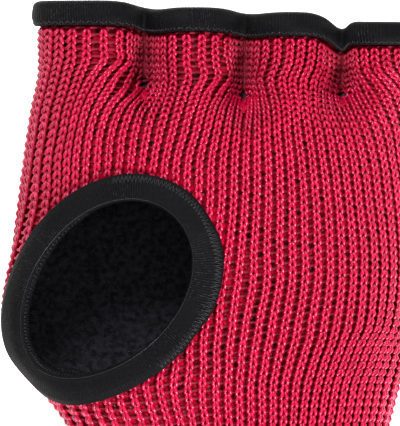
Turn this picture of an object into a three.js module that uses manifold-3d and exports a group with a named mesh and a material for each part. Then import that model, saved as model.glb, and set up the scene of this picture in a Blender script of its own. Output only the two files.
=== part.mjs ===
// Boxing inner glove: a knitted mitt for the left hand, lying on its back with the palm up.
// Millimetres. +Y points to the fingers, -X to the thumb and +Z up from the palm.
// The origin is on the surface that the glove lies on, below the middle of its outline.
//
// Every piece is worked out from one skin. A place on the skin is given by
//   turn   the way round the hand: 0 is the little finger side, PI / 2 the middle of the palm,
//          PI the thumb side and 3 * PI / 2 the middle of the back
//   along  the way up the hand, from the wrist edge to the finger edge
//   depth  how far in from the outside of the knit
// so the knit, its lining and the bindings on their edges are layers of the same form.

import * as THREE from 'three';
import { mergeVertices } from 'three/addons/utils/BufferGeometryUtils.js';
import Module from 'manifold-3d';

const wasm = await Module();
wasm.setup();

// Layers, from the outside in
const KNIT = 1.8;
const LINING = 1.0;
const GAP = 0.3;
const TAPE = 0.9;
const TAPE_GAP = 0.35;
const WALL = KNIT + GAP + LINING;
const HAND_SIDE_OF_TAPE = WALL + TAPE_GAP + TAPE;

// The two ends of the glove, and how far the tape on them reaches back over the fabric
const WRIST_EDGE = -76.8;
const FINGER_EDGE = 75.6;
const TAPE_WIDTH = 6;

// The body: one row for each section across the hand. left and right are the outline seen from above,
// half is half the thickness, middle the height of the widest line, and full how boxy the section is:
// 2 is an ellipse.
const SECTIONS = [
  { along: -76.8, left: -29.6, right: 41.4, half: 15.2, middle: 16.8, full: 2.1 },
  { along: -60.0, left: -29.6, right: 41.4, half: 15.4, middle: 16.6, full: 2.1 },
  { along: -45.0, left: -30.6, right: 42.2, half: 16.4, middle: 16.0, full: 2.15 },
  { along: -28.0, left: -36.9, right: 44.9, half: 18.4, middle: 16.4, full: 2.2 },
  { along: -18.0, left: -44.8, right: 47.4, half: 19.4, middle: 16.8, full: 2.3 },
  { along: -9.0, left: -51.6, right: 48.6, half: 19.8, middle: 17.0, full: 2.3 },
  { along: 2.0, left: -53.1, right: 49.7, half: 20.0, middle: 17.0, full: 2.3 },
  { along: 16.0, left: -50.6, right: 51.3, half: 20.0, middle: 17.0, full: 2.3 },
  { along: 34.0, left: -48.3, right: 52.7, half: 19.4, middle: 17.0, full: 2.3 },
  { along: 50.0, left: -46.0, right: 52.8, half: 17.4, middle: 16.6, full: 2.45 },
  { along: 59.0, left: -44.1, right: 52.3, half: 15.2, middle: 16.2, full: 2.7 },
  { along: 67.0, left: -44.0, right: 52.1, half: 13.4, middle: 15.8, full: 2.9 },
  { along: 75.6, left: -43.8, right: 51.4, half: 12.2, middle: 15.6, full: 3.0 },
];

// The underside is flat where it rests, and turns up over this height
const SETTLE = 1.5;

// Where the front and back are stitched together between two fingers. x is the web's place, pit the
// lowest point of the join, dip how far the edge drops there and spread how wide that drop is.
const WEBS = [
  { x: -17.0, pit: 57.5, dip: 0.9, spread: 5.0 },
  { x: 7.7, pit: 54.6, dip: 0.8, spread: 5.0 },
  { x: 32.3, pit: 56.5, dip: 2.7, spread: 4.0 },
];
// Height of the finger edge at each finger loop, from the index to the little finger
const LOOP_TOPS = [76.8, 75.1, 73.9, 71.5];
const LOOP_BLEND = 5;
const LOOP_HALF_WIDTH = 12.4;
const LOOP_ROUNDNESS = 0.7;
const PIT_FADE = 17;
// The edge drops to its own line over this last stretch of the fingers
const EDGE_FADE = 30;
// Half the thickness at a web: as little as the layers need at the pit, and with the tape at the edge
const WEB_AT_PIT = WALL + 0.25;
const WEB_AT_EDGE = HAND_SIDE_OF_TAPE + 0.15;
// The web starts to widen for the tape this far below the edge, over the blend
const WEB_TAPE_REACH = 12;
const WEB_TAPE_BLEND = 4;

// The cut edge of the thumb hole, an egg seen from above, with its round end towards the middle finger
const THUMB_HOLE = { x: -26.3, y: 6.4, halfLength: 26.7, halfWidth: 18.5, tilt: 0.852, egg: 0.08 };
// Its tape is wider on the palm side, which lies at this angle back from the round end
const THUMB_TAPE = { width: 5.2, extraAtPalm: 1.3, innerWidth: 3.6, gap: 0.55 };
const PALM_SIDE = Math.PI / 4;
// How far the solid that cuts the hole stands past the walls
const PLUG_MARGIN = 3;

// How finely the skin is divided
const ROWS = [
  -76.8, -70.8, -58, -46, -36, -27, -19, -11, -3, 6, 16, 26, 36, 44, 50, 54.5, 58.5, 63.5, 69.6, 75.6,
];
const STEPS_ON_SIDE_LOOP = 12;
const STEPS_ON_MIDDLE_LOOP = 6;
const THUMB_STEPS = 44;
const HOLE_RINGS = 4;
// The skin's direction at a place is taken over these reaches, about one facet
const NORMAL_TURN = 0.09;
const NORMAL_ALONG = 2.5;
// The rim's direction is taken over this angle
const RIM_REACH = 0.02;

const COLOUR_KNIT = 0xc8243f;
const COLOUR_FLEECE = 0x111116;
const COLOUR_TAPE = 0x202022;

function smooth(t) {
  const c = Math.min(1, Math.max(0, t));
  return c * c * (3 - 2 * c);
}

function lerp(a, b, t) {
  return a + (b - a) * t;
}

// A smooth curve through one column of the section table
function column(name, along) {
  const last = SECTIONS.length - 1;
  let i = 0;
  while (i < last - 1 && along > SECTIONS[i + 1].along) {
    i += 1;
  }
  const slopeAt = (k) => {
    const a = SECTIONS[Math.max(0, k - 1)];
    const b = SECTIONS[Math.min(last, k + 1)];
    return (b[name] - a[name]) / (b.along - a.along);
  };
  const from = SECTIONS[i];
  const to = SECTIONS[i + 1];
  const span = to.along - from.along;
  const t = Math.min(1, Math.max(0, (along - from.along) / span));
  const t2 = t * t;
  const t3 = t2 * t;
  return (2 * t3 - 3 * t2 + 1) * from[name]
    + (t3 - 2 * t2 + t) * span * slopeAt(i)
    + (3 * t2 - 2 * t3) * to[name]
    + (t3 - t2) * span * slopeAt(i + 1);
}

function sectionAt(along) {
  const left = column('left', along);
  const right = column('right', along);
  return {
    centre: (left + right) / 2,
    width: (right - left) / 2,
    half: column('half', along),
    middle: column('middle', along),
    full: column('full', along),
  };
}

// Height of the finger edge at x, with the drop at each web
function edgeHeight(x) {
  let height = LOOP_TOPS[0];
  WEBS.forEach((web, i) => {
    const passed = smooth((x - web.x + LOOP_BLEND) / (2 * LOOP_BLEND));
    height += (LOOP_TOPS[i + 1] - LOOP_TOPS[i]) * passed;
    height -= web.dip * Math.exp(-(((x - web.x) / web.spread) ** 2));
  });
  return height;
}

// How far the web grooves draw the front and back together at a place: 0 not at all, 1 fully
function pinch(x, along) {
  let total = 0;
  for (const web of WEBS) {
    const below = Math.min(1, Math.max(0, (web.pit - along) / PIT_FADE));
    const aside = Math.min(1, Math.abs(x - web.x) / LOOP_HALF_WIDTH);
    total += (1 - below) ** 2 * (1 - Math.sin(aside * Math.PI / 2) ** LOOP_ROUNDNESS);
  }
  return Math.min(1, total);
}

// The underside settles flat on the surface below it
function settle(z) {
  if (z <= -SETTLE) {
    return 0;
  }
  if (z < SETTLE) {
    return (z + SETTLE) ** 2 / (4 * SETTLE);
  }
  return z;
}

// A point on the outside of the knit
function skin(turn, along) {
  const s = sectionAt(along);
  const power = 2 / s.full;
  const c = Math.cos(turn);
  const side = Math.sign(c) * Math.abs(c) ** power;
  const x = s.centre + s.width * side;
  const open = s.half * Math.abs(Math.sin(turn)) ** power;
  const underTape = smooth((along - FINGER_EDGE + WEB_TAPE_REACH) / WEB_TAPE_BLEND);
  const webHalf = lerp(WEB_AT_PIT, WEB_AT_EDGE, underTape);
  const rise = lerp(open, Math.min(open, webHalf), pinch(x, along));
  const z = Math.sin(turn) >= 0 ? s.middle + rise : settle(s.middle - rise);
  const lift = (edgeHeight(x) - FINGER_EDGE) * smooth((along - FINGER_EDGE + EDGE_FADE) / EDGE_FADE);
  return new THREE.Vector3(x, along + lift, z);
}

// The two directions of the skin at a place, as change per radian of turn and per millimetre along
function directions(turn, along) {
  const across = skin(turn + NORMAL_TURN, along).sub(skin(turn - NORMAL_TURN, along));
  const up = skin(turn, along + NORMAL_ALONG).sub(skin(turn, along - NORMAL_ALONG));
  return { across: across.divideScalar(2 * NORMAL_TURN), up: up.divideScalar(2 * NORMAL_ALONG) };
}

function outward(turn, along) {
  const { across, up } = directions(turn, along);
  return up.cross(across).normalize();
}

function layer(turn, along, depth) {
  return skin(turn, along).addScaledVector(outward(turn, along), -depth);
}

// The turn of a place on the palm side, seen from above
function turnOnPalm(x, along) {
  const s = sectionAt(along);
  const side = Math.min(1, Math.max(-1, (x - s.centre) / s.width));
  return Math.acos(Math.sign(side) * Math.abs(side) ** (s.full / 2));
}

// The turns of the columns: even steps between one web and the next, on both faces
function columns() {
  const webs = WEBS.map((web) => turnOnPalm(web.x, FINGER_EDGE)).reverse();
  const [little, middle, index] = webs;
  const around = 2 * Math.PI;
  const stops = [
    { turn: little, steps: STEPS_ON_MIDDLE_LOOP },
    { turn: middle, steps: STEPS_ON_MIDDLE_LOOP },
    { turn: index, steps: STEPS_ON_SIDE_LOOP },
    { turn: around - index, steps: STEPS_ON_MIDDLE_LOOP },
    { turn: around - middle, steps: STEPS_ON_MIDDLE_LOOP },
    { turn: around - little, steps: STEPS_ON_SIDE_LOOP },
  ];
  const turns = [];
  stops.forEach((stop, i) => {
    const next = i + 1 < stops.length ? stops[i + 1].turn : little + around;
    for (let k = 0; k < stop.steps; k += 1) {
      turns.push(lerp(stop.turn, next, k / stop.steps));
    }
  });
  return turns;
}

// A closed ring: each section is a closed loop of points, and the sections go round in a loop.
// climbs says for each point whether the loop goes up the hand from it. Every four-sided patch is
// split from its lower corner on one column to its upper corner on the next, so layers stay parallel.
function ringBody(sections, climbs) {
  const count = sections.length;
  const size = sections[0].length;
  const positions = sections.flat().flatMap((p) => [p.x, p.y, p.z]);
  const faces = [];
  for (let k = 0; k < count; k += 1) {
    for (let j = 0; j < size; j += 1) {
      const a = k * size + j;
      const b = k * size + ((j + 1) % size);
      const c = ((k + 1) % count) * size + ((j + 1) % size);
      const d = ((k + 1) % count) * size + j;
      if (climbs[j]) {
        faces.push(a, b, c, a, c, d);
      } else {
        faces.push(a, b, d, b, c, d);
      }
    }
  }
  return facingOut(positions, faces);
}

// For each point of a closed loop of places, whether the next one is further up the hand
function climbing(alongs) {
  return alongs.map((along, j) => alongs[(j + 1) % alongs.length] > along);
}

// Turns every face over if the body is inside out
function facingOut(positions, faces) {
  let volume = 0;
  const corner = (i) => new THREE.Vector3().fromArray(positions, faces[i] * 3);
  for (let i = 0; i < faces.length; i += 3) {
    volume += corner(i).dot(corner(i + 1).cross(corner(i + 2)));
  }
  const geometry = new THREE.BufferGeometry();
  geometry.setAttribute('position', new THREE.Float32BufferAttribute(positions, 3));
  geometry.setIndex(volume > 0 ? faces : faces.toReversed());
  return geometry;
}

function toSolid(geometry) {
  const bare = geometry.clone();
  bare.deleteAttribute('normal');
  bare.deleteAttribute('uv');
  const merged = mergeVertices(bare, 1e-5);
  return new wasm.Manifold(new wasm.Mesh({
    numProp: 3,
    vertProperties: new Float32Array(merged.attributes.position.array),
    triVerts: new Uint32Array(merged.index.array),
  }));
}

function fromSolid(solid) {
  const mesh = solid.getMesh();
  const geometry = new THREE.BufferGeometry();
  geometry.setAttribute('position', new THREE.BufferAttribute(new Float32Array(mesh.vertProperties), 3));
  geometry.setIndex(new THREE.BufferAttribute(new Uint32Array(mesh.triVerts), 1));
  return geometry;
}

// A sleeve from the wrist to the fingers, between two depths
function sleeve(outer, inner) {
  const upAndBack = [
    ...ROWS.map((along) => ({ along, depth: outer })),
    ...ROWS.toReversed().map((along) => ({ along, depth: inner })),
  ];
  const sections = columns().map((turn) => upAndBack.map((p) => layer(turn, p.along, p.depth)));
  return ringBody(sections, climbing(upAndBack.map((p) => p.along)));
}

// A point of the thumb hole's rim, and of smaller eggs inside it, as a place on the skin
function holePlace(angle, scale) {
  const h = THUMB_HOLE;
  const long = scale * h.halfLength * Math.cos(angle);
  const wide = scale * h.halfWidth * Math.sin(angle) * (1 + h.egg * Math.cos(angle));
  const x = h.x + long * Math.cos(h.tilt) - wide * Math.sin(h.tilt);
  const y = h.y + long * Math.sin(h.tilt) + wide * Math.cos(h.tilt);
  return { turn: turnOnPalm(x, y), along: y };
}

// The solid that is cut out for the thumb: two patches that follow the skin, above and below the walls
function thumbPlug() {
  const above = -PLUG_MARGIN;
  const below = WALL + PLUG_MARGIN;
  const positions = [];
  const faces = [];
  const put = (place, depth) => {
    const p = layer(place.turn, place.along, depth);
    positions.push(p.x, p.y, p.z);
    return positions.length / 3 - 1;
  };
  const rims = [above, below].map((depth) => {
    const centre = put(holePlace(0, 0), depth);
    let inner = null;
    for (let ring = 1; ring <= HOLE_RINGS; ring += 1) {
      const points = [];
      for (let k = 0; k < THUMB_STEPS; k += 1) {
        points.push(put(holePlace(2 * Math.PI * k / THUMB_STEPS, ring / HOLE_RINGS), depth));
      }
      for (let k = 0; k < THUMB_STEPS; k += 1) {
        const next = (k + 1) % THUMB_STEPS;
        const triangles = inner
          ? [[inner[k], points[k], points[next]], [inner[k], points[next], inner[next]]]
          : [[centre, points[k], points[next]]];
        for (const [a, b, c] of triangles) {
          faces.push(...(depth === above ? [a, b, c] : [a, c, b]));
        }
      }
      inner = points;
    }
    return inner;
  });
  const [top, bottom] = rims;
  for (let k = 0; k < THUMB_STEPS; k += 1) {
    const next = (k + 1) % THUMB_STEPS;
    faces.push(top[k], bottom[k], bottom[next], top[k], bottom[next], top[next]);
  }
  return facingOut(positions, faces);
}

// The section of a folded tape: from is the distance from the edge, back onto the fabric.
// The outer leg has a bend in the middle so that it follows a curved wall.
function foldedTape(outerLeg, innerLeg, gap) {
  const outside = -gap - TAPE;
  const inside = WALL + gap + TAPE;
  const corner = 0.3;
  return [
    { from: outerLeg, depth: -gap },
    { from: outerLeg, depth: outside },
    { from: outerLeg / 2, depth: outside },
    { from: corner, depth: outside },
    { from: outside, depth: corner },
    { from: outside, depth: WALL - corner },
    { from: corner, depth: inside },
    { from: innerLeg, depth: inside },
    { from: innerLeg, depth: WALL + gap },
    { from: -gap, depth: WALL + gap },
    { from: -gap, depth: -gap },
    { from: outerLeg / 2, depth: -gap },
  ];
}

// A tape on the edge at one end of the sleeve; inwards is 1 where the fabric lies up the hand from it
function endTape(edge, inwards) {
  const profile = foldedTape(TAPE_WIDTH, TAPE_WIDTH, TAPE_GAP)
    .filter((p) => p.from !== TAPE_WIDTH / 2)
    .map((p) => ({ along: edge + inwards * p.from, depth: p.depth }));
  const sections = columns().map((turn) => profile.map((p) => layer(turn, p.along, p.depth)));
  return ringBody(sections, climbing(profile.map((p) => p.along)));
}

// The tape round the thumb hole. It walks from the rim over the skin, at right angles to the rim.
function thumbTape() {
  const sections = [];
  for (let k = 0; k < THUMB_STEPS; k += 1) {
    const angle = 2 * Math.PI * k / THUMB_STEPS;
    const rim = holePlace(angle, 1);
    const before = holePlace(angle - RIM_REACH, 1);
    const after = holePlace(angle + RIM_REACH, 1);
    const tangent = skin(after.turn, after.along).sub(skin(before.turn, before.along)).normalize();
    const away = tangent.clone().cross(outward(rim.turn, rim.along)).normalize();
    const towardsPalm = Math.max(0, Math.cos(angle + PALM_SIDE));
    const width = THUMB_TAPE.width + THUMB_TAPE.extraAtPalm * towardsPalm;
    const profile = foldedTape(width, THUMB_TAPE.innerWidth, THUMB_TAPE.gap);
    sections.push(profile.map((p) => {
      const place = walk(rim, away, p.from);
      return layer(place.turn, place.along, p.depth);
    }));
  }
  return ringBody(sections, climbing(sections[0].map((p) => p.y)));
}

// Goes a distance over the skin from a place, in a direction given in space
function walk(start, direction, distance) {
  const steps = 6;
  const stride = distance / steps;
  let heading = direction.clone();
  let { turn, along } = start;
  for (let i = 0; i < steps; i += 1) {
    const { across, up } = directions(turn, along);
    const aa = across.dot(across);
    const uu = up.dot(up);
    const au = across.dot(up);
    const ha = heading.dot(across);
    const hu = heading.dot(up);
    const area = aa * uu - au * au;
    const dTurn = (ha * uu - hu * au) / area;
    const dAlong = (hu * aa - ha * au) / area;
    heading = across.multiplyScalar(dTurn).addScaledVector(up, dAlong).normalize();
    turn += dTurn * stride;
    along += dAlong * stride;
  }
  return { turn, along };
}

function fabric(colour, roughness) {
  return new THREE.MeshStandardMaterial({ color: colour, roughness, metalness: 0 });
}

function piece(name, geometry, material) {
  const mesh = new THREE.Mesh(geometry, material);
  mesh.name = name;
  return mesh;
}

function withThumbHole(geometry) {
  return fromSolid(toSolid(geometry).subtract(toSolid(thumbPlug())));
}

function knitShell() {
  return piece('knit_shell', withThumbHole(sleeve(0, KNIT)), fabric(COLOUR_KNIT, 0.6));
}

function fleeceLining() {
  return piece('fleece_lining', withThumbHole(sleeve(KNIT + GAP, WALL)), fabric(COLOUR_FLEECE, 0.95));
}

function fingerBinding() {
  return piece('finger_binding', endTape(FINGER_EDGE, -1), fabric(COLOUR_TAPE, 0.75));
}

function wristBinding() {
  return piece('wrist_binding', endTape(WRIST_EDGE, 1), fabric(COLOUR_TAPE, 0.75));
}

function thumbBinding() {
  return piece('thumb_binding', thumbTape(), fabric(COLOUR_TAPE, 0.75));
}

const glove = new THREE.Group();
glove.add(knitShell(), fleeceLining(), fingerBinding(), wristBinding(), thumbBinding());

export default glove;
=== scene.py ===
"""The looks of the boxing inner glove: knitted yarn, brushed lining, woven tapes and their stitches.

The glove lies on its back with the palm up: +Y points to the fingers, -X to the thumb and +Z up.
Lengths here are millimetres, and a mesh is turned into metres when it is made.
"""

import math

import bpy
import numpy as np
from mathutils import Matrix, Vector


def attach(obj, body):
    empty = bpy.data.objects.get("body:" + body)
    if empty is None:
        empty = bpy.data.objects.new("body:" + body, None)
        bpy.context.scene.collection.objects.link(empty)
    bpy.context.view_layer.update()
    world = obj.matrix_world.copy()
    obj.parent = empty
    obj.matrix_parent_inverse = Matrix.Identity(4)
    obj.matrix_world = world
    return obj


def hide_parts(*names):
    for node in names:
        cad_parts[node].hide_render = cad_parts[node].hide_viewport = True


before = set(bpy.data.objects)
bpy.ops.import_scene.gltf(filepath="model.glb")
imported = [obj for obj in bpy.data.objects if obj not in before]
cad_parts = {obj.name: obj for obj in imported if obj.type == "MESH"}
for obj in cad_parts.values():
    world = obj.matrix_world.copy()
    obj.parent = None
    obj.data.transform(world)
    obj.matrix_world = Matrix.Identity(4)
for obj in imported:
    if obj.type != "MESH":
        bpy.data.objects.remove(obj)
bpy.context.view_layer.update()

MM = 0.001

# Thicknesses of the wall's layers and of the gaps between them
KNIT = 1.8
LINING = 1.0
GAP = 0.3
TAPE = 0.9
TAPE_GAP = 0.35
WALL = KNIT + GAP + LINING
HAND_SIDE_OF_TAPE = WALL + TAPE_GAP + TAPE

# The two ends of the glove, and how far the tape on them reaches back over the fabric
WRIST_EDGE = -76.8
FINGER_EDGE = 75.6
TAPE_WIDTH = 6.0

# The body: one row for each section across the hand. left and right are the outline seen from above,
# half is half the thickness, middle the height of the widest line, and full how boxy the section is.
SECTION_COLUMNS = ("along", "left", "right", "half", "middle", "full")
SECTION_ROWS = [
    (-76.8, -29.6, 41.4, 15.2, 16.8, 2.10),
    (-60.0, -29.6, 41.4, 15.4, 16.6, 2.10),
    (-45.0, -30.6, 42.2, 16.4, 16.0, 2.15),
    (-28.0, -36.9, 44.9, 18.4, 16.4, 2.20),
    (-18.0, -44.8, 47.4, 19.4, 16.8, 2.30),
    (-9.0, -51.6, 48.6, 19.8, 17.0, 2.30),
    (2.0, -53.1, 49.7, 20.0, 17.0, 2.30),
    (16.0, -50.6, 51.3, 20.0, 17.0, 2.30),
    (34.0, -48.3, 52.7, 19.4, 17.0, 2.30),
    (50.0, -46.0, 52.8, 17.4, 16.6, 2.45),
    (59.0, -44.1, 52.3, 15.2, 16.2, 2.70),
    (67.0, -44.0, 52.1, 13.4, 15.8, 2.90),
    (75.6, -43.8, 51.4, 12.2, 15.6, 3.00),
]
SECTIONS = dict(zip(SECTION_COLUMNS, np.array(SECTION_ROWS).T))
# The underside turns flat within this height of the surface that it lies on
SETTLE = 1.5

# The joins between the fingers: place across, height of the pit, drop of the edge and how wide that drop is
# on the thumb side and on the other
WEBS = [(-17.0, 57.5, 0.9, 5.0, 5.0), (7.7, 54.6, 0.8, 5.0, 5.0), (32.3, 56.5, 2.9, 4.6, 1.9)]
LOWEST_PIT = min(pit for _, pit, *_ in WEBS)
# The heights of the loops' edges, how far from a web they lead over into one another, and how far down the
# hand the uneven edge draws the fabric
LOOP_TOPS = (76.8, 75.1, 73.9, 71.5)
LOOP_BLEND = 5.0
EDGE_FADE = 30.0
# The rise of a loop from the web beside it
LOOP_HALF_WIDTH = 12.4
LOOP_ROUNDNESS = 0.7
CREASE_SOFTNESS = 0.07
# The groove of a web: how far below its pit it fades out and how suddenly, half the glove's thickness in it
# at the pit and under the tape, and where it turns from one to the other
PIT_FADE = 17.0
PIT_FADE_POWER = 3
WEB_AT_PIT = WALL + 0.25
WEB_AT_EDGE = HAND_SIDE_OF_TAPE + 0.15
WEB_TAPE_REACH = 12.0
WEB_TAPE_BLEND = 4.0
# Half the height of a pit between its seams, and half sizes of the oval left open there, where the black
# lining shows as painted shade
PIT_OPENS = 1.5
PIT_SHADE_OVAL = (0.85, 1.15)

# The cut edge of the thumb hole, an egg seen from above. Angles round it start at its end near the fingers.
HOLE_X = -26.6
HOLE_Y = 5.85
HOLE_HALF_LENGTH = 26.1
HOLE_HALF_WIDTH = 18.6
HOLE_TILT = 0.852
HOLE_EGG = 0.08
# The outer leg of its tape, with how much wider it is at these angles, and its inner leg
THUMB_TAPE_WIDTH = 5.2
PALM_SIDE = -math.pi / 4
PALM_SIDE_EXTRA = 0.9
THUMB_SIDE = 2.9
THUMB_SIDE_EXTRA = 2.7
THUMB_TAPE_INNER = 3.6
# The tape presses the wall together to this thickness, and the wall is free again this far beyond its leg
PRESSED_WALL = 1.6
PRESS_FADE = 5.0

# How the tapes lie on the fabric: their gap to it, how far their stitched edge is pressed into it, the
# ridge along the fold and how far the leg swells out
END_TAPE = {"leg": 4.8, "gap": TAPE_GAP, "press": 0.4, "ridge": 0.0, "plump": 0.3}
THUMB_TAPE = {"gap": 0.3, "press": 0.35, "ridge": 0.2, "plump": 0.1}
# The stitches press this strip of the leg down, from its edge inwards
PRESSED_STRIP = 2.2
PRESSED_BLEND = 1.7
# The leg dips beside the ridge by the ridge's height, and by half of that further on
DIP_WIDTH = 0.2
DIP_BLEND = 1.2
# How far the fold stands past the fabric's edge, and its power: 1 is round, and less is squarer
FOLD_REACH = 1.0
END_FOLD_POWER = 0.9
THUMB_FOLD_POWER = 0.6
# Half the thickness at the cut ends of a tape
CUT_END = 0.04
# How many sections the tapes have
FINGER_TAPE_PLACES = 230
WRIST_TAPE_PLACES = 110
THUMB_TAPE_PLACES = 220

# The zigzag seams. The thread lies on the tape, lifted by a share of its radius, and sinks in at its turns.
THREAD_RADIUS = 0.11
THREAD_SIDES = 4
THREAD_LIFT = 0.6
SEAM_SINKS = 0.22
SEAM_INSET = 0.35
ZIGZAG_POINTS = 8
ZIGZAG_SOFTNESS = 0.35
END_ZIGZAGS = 170
END_SEAM_WIDTH = 0.6
THUMB_ZIGZAGS = 66
# The thumb tape's seams by angle round the hole: wide on the palm, and round the fold at the thumb
PALM_SEAM = (-1.75, 0.75)
PALM_SEAM_WIDTH = 2.0
FOLD_SEAM = (1.1, 4.1)
FOLD_SEAM_BENDS = (1.25, 2.0)
# The rolled edge of the thumb tape: how far past the fabric's edge it lies and how deep in the tape
RIM_PLACES = 240
RIM_REACH = 0.95
RIM_SINKS = 0.22
RIM_RADIUS = 0.09

# The ribs of the knit, numbered across the palm from the thumb side. One row for each height: the rib on
# the thumb side's outline, where the lines between the ribs below lie across the palm, and the rib on the
# other outline. None is a line that has gone round the side of the hand.
RIBS = 80
LINES = (-17, -14, -11.5, -8, -5, -3, -0.5, 2, 5, 8, 11.5, 14, 16)
RIB_ROWS = [
    (-78.0, -17.5, (None, None, -21.0, -13.5, -7.5, -3.0, 2.4, 7.5, 13.8, 20.0, 27.0, 31.8, 35.6), 19.5),
    (-45.0, -15.5, (None, None, -27.0, -17.5, -9.8, -4.8, 1.8, 7.7, 15.0, 21.8, 29.3, 34.4, 38.2), 19.5),
    (-25.5, -13.5, (None, None, -35.0, -23.8, -13.2, -6.9, 1.1, 8.2, 16.5, 24.0, 32.1, 37.5, 41.6), 19.2),
    (-18.0, -14.8, (None, None, -35.9, -25.0, -15.0, -8.0, 0.8, 8.1, 16.6, 25.1, 33.4, 38.9, 43.0), 19.0),
    (-13.0, -16.2, (None, None, -35.4, -24.6, -14.6, -7.4, 1.1, 8.6, 17.6, 26.6, 35.2, 40.9, 44.6), 18.6),
    (-8.0, -17.7, (None, None, -34.6, -23.9, -14.1, -7.4, 1.1, 9.1, 18.8, 28.4, 37.2, 42.7, 46.2), 18.0),
    (-3.0, -18.3, (None, None, -33.6, -23.1, -13.6, -7.1, 1.6, 9.9, 19.8, 29.6, 39.6, 45.2, None), 17.0),
    (7.0, -19.4, (-44.6, -37.4, -30.6, -20.6, -11.6, -5.6, 2.5, 11.8, 21.4, 30.9, 40.6, 46.6, None), 17.0),
    (17.0, -20.3, (-42.1, -35.1, -28.6, -18.6, -9.4, -3.4, 4.2, 12.0, 21.5, 30.9, 40.6, 46.6, None), 17.4),
    (27.0, -21.0, (-40.6, -33.4, -26.9, -17.1, -8.1, -2.2, 5.2, 12.5, 21.4, 30.3, 39.4, 45.7, None), 18.0),
    (38.25, -21.3, (-40.1, -33.1, -26.1, -16.1, -7.5, -1.7, 5.5, 12.5, 20.8, 29.0, 37.9, 44.2, 48.6), 18.6),
    (45.5, -21.3, (-38.8, -32.1, -25.3, -14.8, -5.5, -0.1, 6.2, 12.3, 20.0, 27.9, 36.0, 42.7, 47.8), 19.1),
    (51.5, -21.3, (-37.6, -30.2, -22.7, -13.2, -3.9, 1.6, 7.1, 11.9, 19.6, 26.5, 33.6, 40.1, 46.3), 19.6),
    (55.75, -21.4, (-36.1, -27.6, -18.6, -11.8, -2.2, 4.1, 7.7, 11.1, 18.9, 26.6, 32.3, 37.8, 44.9), 20.0),
    (59.5, -21.6, (-35.0, -24.6, -17.1, -11.5, 0.0, 6.1, 7.8, 10.4, 18.6, 27.1, 32.4, 36.1, 42.6), 20.6),
    (62.75, -21.8, (-33.8, -21.2, -17.1, -11.7, -0.5, 5.8, 7.8, 11.2, 20.1, 28.2, 32.4, 34.9, 40.1), 21.2),
    (65.75, -21.8, (-33.7, -21.5, -17.1, -11.8, -0.7, 5.4, 7.8, 11.6, 20.7, 28.5, 32.4, 34.5, 39.1), 21.6),
    (78.0, -21.8, (-33.7, -21.5, -17.1, -11.8, -0.7, 5.4, 7.8, 11.6, 20.7, 28.5, 32.4, 34.5, 39.1), 21.6),
]
# The back's last rib, which meets the palm's first rib round the side
FIRST_RIB = 19.0 - RIBS

# The courses of the knit: their pitch on the hand and, tighter, on the finger loops
COURSE_ON_HAND = 2.07
COURSE_ON_FINGERS = 1.7
FINGERS_FROM = 45.0
FINGERS_BLEND = 12.0
# Courses run level over this many ribs before they follow a dent
COURSE_SPREAD = 3
# The grid that stitches are placed by has this many lines to a rib and to a course
FINE = 4

# Half a stitch, from the middle of the gap between two ribs to the head of its loop, for a rib and course
# of these sizes: across, up the hand, out from the middle of the yarn layer, and the yarn's radius
RIB_SIZE = 2.95
COURSE_SIZE = 2.07
HALF_STITCH = np.array([
    (-RIB_SIZE / 2, 0.30, -0.92, 0.42),
    (-0.72, 0.36, -0.74, 0.36),
    (-0.26, 0.00, -0.44, 0.40),
    (-0.33, -0.62, 0.04, 0.46),
    (-0.56, -1.40, 0.38, 0.49),
    (-0.70, -2.05, 0.04, 0.43),
    (0.00, -3.00, -0.64, 0.44),
])
# How far below its own course the middle of a stitch's legs lies, in courses
LEGS_BELOW = 0.6
# Crowded stitches are wide for the room they have, stand proud and are thin: powers of the room, and limits
CROWDED_WIDTH = -0.6
CROWDED_RISE = (-0.35, 0.8, 1.2)
CROWDED_THICKNESS = (0.3, 0.92, 1.04)
# How strongly the legs of a stitch spread where the courses are stacked closely, and how far they reach
STACKING_WIDENS = 1.5
LEG_REACH = 0.72
# How unevenly stitches lie: their width, their place among the ribs and their height
UNEVEN_WIDTH = 0.05
UNEVEN_PLACE = 0.012
UNEVEN_HEIGHT = 0.03
YARN_SEED = 11
# The knit lies slack on the thumb side of the palm, from here out. Its gaps rise and close up, and its yarn
# swells, spreads and is painted darker as shade.
SLACK_FROM = -28.0
SLACK_BLEND = 12.0
SLACK_LIFT = 0.6
SLACK_SWELL = 0.12
SLACK_SPREAD = 0.35
SLACK_PAINTED_SHADE = 0.2
# The middle of the yarn layer lies this deep
YARN_DEPTH = 0.82
YARN_SIDES = 6
# The yarn starts this far under the end tapes, and keeps clear of the thumb hole's cut edge
YARN_UNDER_TAPE = 2.0
YARN_CLEAR_OF_HOLE = 2.4
# Yarn between these distances from the middle of the layer turns from open to buried among its neighbours
# Buried yarn is painted darker as shade, and made rougher.
BURIED_FROM = -0.15
BURIED_FULLY = -0.85
# Painted shade in the grooves between the fingers: yarn drawn into one counts as buried this much more,
# from the lowest pit up
WEB_PAINTED_SHADE = 0.9
PIT_PAINTED_SHADE_FADE = 4.0
KNIT_PIECES = ("knit_cuff", "knit_heel", "knit_palm", "knit_knuckles", "knit_fingers")

# The yarn ends that close a groove, as three wavering strands: above the pit, up to the tape, and below it
# Each part gives its radius, depth and painted shade, a share by which its yarn is painted darker.
WEB_SEAMS = {
    "upper": {"radius": 0.42, "depth": 1.0, "painted_shade": WEB_PAINTED_SHADE},
    "lower": {"radius": 0.40, "depth": 0.55, "painted_shade": 0.1},
}
UPPER_SEAM_END = FINGER_EDGE - 4.0
LOWER_SEAM_LENGTH = 3.0
WEB_SEAM_POINTS = 36
WEB_SEAM_SIDES = 6
WEB_STRAND_PITCH = 0.45
WEB_STRAND_WAVER = 0.16
# A strand tapers over this length, down to this share of its radius
WEB_STRAND_TAPER = 1.5
WEB_STRAND_TIP = 0.3
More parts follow.
